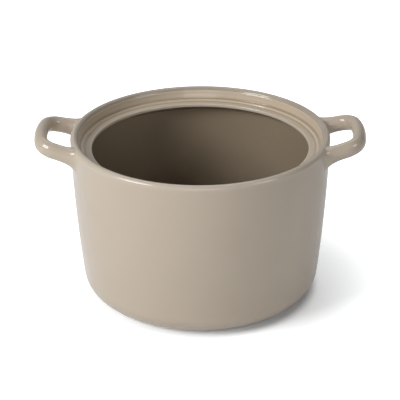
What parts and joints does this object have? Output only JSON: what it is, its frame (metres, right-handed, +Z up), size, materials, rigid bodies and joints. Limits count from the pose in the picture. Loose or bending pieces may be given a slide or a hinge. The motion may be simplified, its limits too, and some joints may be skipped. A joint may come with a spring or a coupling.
{
  "type": "stew pot",
  "caption": "Round glazed stoneware stew pot with a rounded rim, an inner ledge for a lid and a loop handle on each side.",
  "frame": {"origin": "middle of the foot ring, on the surface that the pot stands on", "axes": "+Z up the pot's axis, +X towards the right handle, -Y towards the viewer"},
  "size_m": [0.2798, 0.2196, 0.1485],
  "materials": {
    "body_glaze": "satin taupe glaze, fine speckle",
    "ledge_glaze": "satin taupe glaze, a little deeper where it pools",
    "handle_glaze": "satin taupe glaze",
    "slip": "fired joining slip, matt"
  },
  "bodies": {
    "root": {"pot_body": "body_glaze", "lid_ledge_ring": "ledge_glaze", "ledge_slip": "slip", "handle_left": "handle_glaze", "handle_right": "handle_glaze", "handle_left_slip": "slip", "handle_right_slip": "slip"}
  },
  "joints": []
}
